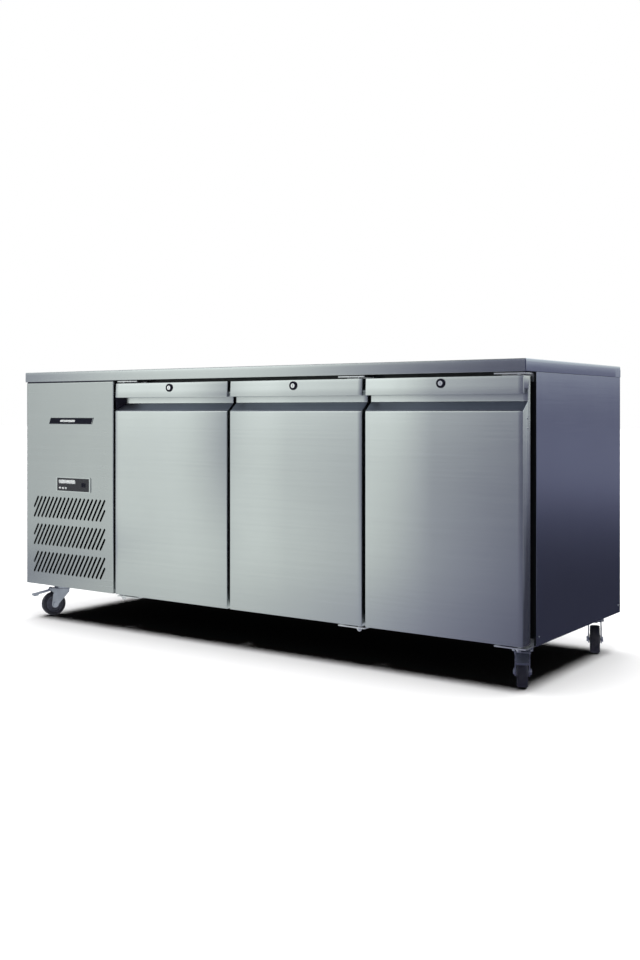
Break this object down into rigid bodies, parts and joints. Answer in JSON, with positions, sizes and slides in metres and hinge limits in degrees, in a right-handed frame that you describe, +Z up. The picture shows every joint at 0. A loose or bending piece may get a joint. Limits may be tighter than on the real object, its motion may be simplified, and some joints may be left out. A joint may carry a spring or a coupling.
{
  "type": "undercounter refrigerator",
  "caption": "Stainless steel undercounter refrigerator with three doors, a louvred machine compartment at the left end, locks, wire shelves and castors.",
  "frame": {"origin": "on the floor, under the middle of the worktop", "axes": "+X towards the end without the machine compartment, +Y towards the back, +Z up; the doors face -Y"},
  "size_m": [1.86, 0.67, 0.842],
  "materials": {
    "worktop_steel": "satin",
    "panel_steel": "satin",
    "door_steel": "satin",
    "side_steel": "satin",
    "liner_steel": "satin",
    "zinc_plate": "satin",
    "lock_metal": "polished",
    "foam": "matte",
    "gasket_rubber": "matte",
    "black_plastic": "satin",
    "badge_black": "gloss",
    "bezel_metal": "satin",
    "display_glass": "gloss",
    "key_plastic": "satin",
    "unit_paint": "satin",
    "coil_aluminium": "satin",
    "shelf_wire": "gloss",
    "copper_pipe": "satin",
    "galvanised": "satin",
    "tyre_rubber": "matte"
  },
  "bodies": {
    "cabinet": {"worktop": "worktop_steel", "side_panel_left": "side_steel", "side_panel_right": "side_steel", "back_panel": "galvanised", "base_panel": "galvanised", "insulation": "foam", "inner_liner": "liner_steel", "front_frame": "liner_steel", "shelf_supports": "liner_steel", "wire_shelves": "shelf_wire", "hinge_brackets": "zinc_plate", "machine_panel": "panel_steel", "badge": "badge_black", "controller_housing": "bezel_metal", "display_window": "display_glass", "compressor": "unit_paint", "condenser_coil": "coil_aluminium", "condenser_fan_frame": "galvanised", "unit_tray": "galvanised", "evaporator_coil": "coil_aluminium", "evaporator_cover": "liner_steel", "drain_tray": "liner_steel", "refrigerant_pipes": "copper_pipe", "terminal_box": "black_plastic", "fasteners": "zinc_plate", "castor_plates": "zinc_plate"},
    "door_1": {"door_1_skin": "door_steel", "door_1_foam": "foam", "door_1_liner": "liner_steel", "door_1_gasket": "gasket_rubber", "door_1_lock": "black_plastic"},
    "lock_1": {"door_1_barrel": "lock_metal"},
    "door_2": {"door_2_skin": "door_steel", "door_2_foam": "foam", "door_2_liner": "liner_steel", "door_2_gasket": "gasket_rubber", "door_2_lock": "black_plastic"},
    "lock_2": {"door_2_barrel": "lock_metal"},
    "door_3": {"door_3_skin": "door_steel", "door_3_foam": "foam", "door_3_liner": "liner_steel", "door_3_gasket": "gasket_rubber", "door_3_lock": "black_plastic"},
    "lock_3": {"door_3_barrel": "lock_metal"},
    "key_set": {"key_set": "key_plastic"},
    "key_up": {"key_up": "key_plastic"},
    "key_down": {"key_down": "key_plastic"},
    "power_switch": {"power_switch": "black_plastic"},
    "condenser_fan": {"condenser_fan": "black_plastic"},
    "evaporator_fan": {"evaporator_fan": "black_plastic"},
    "castor_front_left_fork": {"castor_front_left_fork": "zinc_plate"},
    "castor_front_left_wheel": {"castor_front_left_wheel": "tyre_rubber"},
    "castor_front_left_pedal": {"castor_front_left_pedal": "zinc_plate"},
    "castor_front_right_fork": {"castor_front_right_fork": "zinc_plate"},
    "castor_front_right_wheel": {"castor_front_right_wheel": "tyre_rubber"},
    "castor_front_right_pedal": {"castor_front_right_pedal": "zinc_plate"},
    "castor_rear_left_fork": {"castor_rear_left_fork": "zinc_plate"},
    "castor_rear_left_wheel": {"castor_rear_left_wheel": "tyre_rubber"},
    "castor_rear_right_fork": {"castor_rear_right_fork": "zinc_plate"},
    "castor_rear_right_wheel": {"castor_rear_right_wheel": "tyre_rubber"}
  },
  "joints": [
    {"name": "door_1_hinge", "type": "hinge", "parent": "cabinet", "child": "door_1", "pos_m": [-0.4788, -0.3115, 0.45925], "axis": [0, 0, -1], "range_deg": [0, 90], "stiffness_Nm_per_rad": 0.8, "springref_deg": -57.3},
    {"name": "lock_1_turn", "type": "hinge", "parent": "door_1", "child": "lock_1", "pos_m": [-0.266, -0.3315, 0.7825], "axis": [0, 1, 0], "range_deg": [0, 90]},
    {"name": "door_2_hinge", "type": "hinge", "parent": "cabinet", "child": "door_2", "pos_m": [0.4235, -0.3115, 0.45925], "axis": [0, 0, 1], "range_deg": [0, 90], "stiffness_Nm_per_rad": 0.8, "springref_deg": -57.3},
    {"name": "lock_2_turn", "type": "hinge", "parent": "door_2", "child": "lock_2", "pos_m": [0.2107, -0.3315, 0.7825], "axis": [0, 1, 0], "range_deg": [0, 90]},
    {"name": "door_3_hinge", "type": "hinge", "parent": "cabinet", "child": "door_3", "pos_m": [0.9002, -0.3115, 0.45925], "axis": [0, 0, 1], "range_deg": [0, 90], "stiffness_Nm_per_rad": 0.8, "springref_deg": -57.3},
    {"name": "lock_3_turn", "type": "hinge", "parent": "door_3", "child": "lock_3", "pos_m": [0.6874, -0.3315, 0.7825], "axis": [0, 1, 0], "range_deg": [0, 90]},
    {"name": "key_set_press", "type": "slide", "parent": "cabinet", "child": "key_set", "axis": [0, 1, 0], "range_m": [0, 0.0008], "stiffness_N_per_m": 400, "springref_m": -0.0005},
    {"name": "key_up_press", "type": "slide", "parent": "cabinet", "child": "key_up", "axis": [0, 1, 0], "range_m": [0, 0.0008], "stiffness_N_per_m": 400, "springref_m": -0.0005},
    {"name": "key_down_press", "type": "slide", "parent": "cabinet", "child": "key_down", "axis": [0, 1, 0], "range_m": [0, 0.0008], "stiffness_N_per_m": 400, "springref_m": -0.0005},
    {"name": "power_switch_tip", "type": "hinge", "parent": "cabinet", "child": "power_switch", "pos_m": [-0.64375, -0.3285, 0.4645], "axis": [1, 0, 0], "range_deg": [-7, 7]},
    {"name": "condenser_fan_spin", "type": "hinge", "parent": "cabinet", "child": "condenser_fan", "pos_m": [-0.7624, -0.192, 0.2635], "axis": [0, 1, 0], "continuous": true},
    {"name": "evaporator_fan_spin", "type": "hinge", "parent": "cabinet", "child": "evaporator_fan", "pos_m": [-0.4928, 0.001, 0.595], "axis": [1, 0, 0], "continuous": true},
    {"name": "castor_front_left_swivel", "type": "hinge", "parent": "cabinet", "child": "castor_front_left_fork", "pos_m": [-0.869, -0.222, 0.088], "axis": [0, 0, 1], "continuous": true},
    {"name": "castor_front_left_roll", "type": "hinge", "parent": "castor_front_left_fork", "child": "castor_front_left_wheel", "pos_m": [-0.8812, -0.24941, 0.04], "axis": [0.9135, -0.4067, 0], "continuous": true},
    {"name": "castor_front_left_brake", "type": "hinge", "parent": "castor_front_left_fork", "child": "castor_front_left_pedal", "pos_m": [-0.88364, -0.25489, 0.089], "axis": [0.9135, -0.4067, 0], "range_deg": [0, 12]},
    {"name": "castor_front_right_swivel", "type": "hinge", "parent": "cabinet", "child": "castor_front_right_fork", "pos_m": [0.869, -0.222, 0.088], "axis": [0, 0, 1], "continuous": true},
    {"name": "castor_front_right_roll", "type": "hinge", "parent": "castor_front_right_fork", "child": "castor_front_right_wheel", "pos_m": [0.8812, -0.24941, 0.04], "axis": [0.9135, 0.4067, 0], "continuous": true},
    {"name": "castor_front_right_brake", "type": "hinge", "parent": "castor_front_right_fork", "child": "castor_front_right_pedal", "pos_m": [0.88364, -0.25489, 0.089], "axis": [0.9135, 0.4067, 0], "range_deg": [0, 12]},
    {"name": "castor_rear_left_swivel", "type": "hinge", "parent": "cabinet", "child": "castor_rear_left_fork", "pos_m": [-0.869, 0.285, 0.088], "axis": [0, 0, 1], "continuous": true},
    {"name": "castor_rear_left_roll", "type": "hinge", "parent": "castor_rear_left_fork", "child": "castor_rear_left_wheel", "pos_m": [-0.88621, 0.26043, 0.04], "axis": [0.8192, -0.5736, 0], "continuous": true},
    {"name": "castor_rear_right_swivel", "type": "hinge", "parent": "cabinet", "child": "castor_rear_right_fork", "pos_m": [0.869, 0.285, 0.088], "axis": [0, 0, 1], "continuous": true},
    {"name": "castor_rear_right_roll", "type": "hinge", "parent": "castor_rear_right_fork", "child": "castor_rear_right_wheel", "pos_m": [0.88024, 0.25718, 0.04], "axis": [0.9272, 0.3746, 0], "continuous": true}
  ]
}
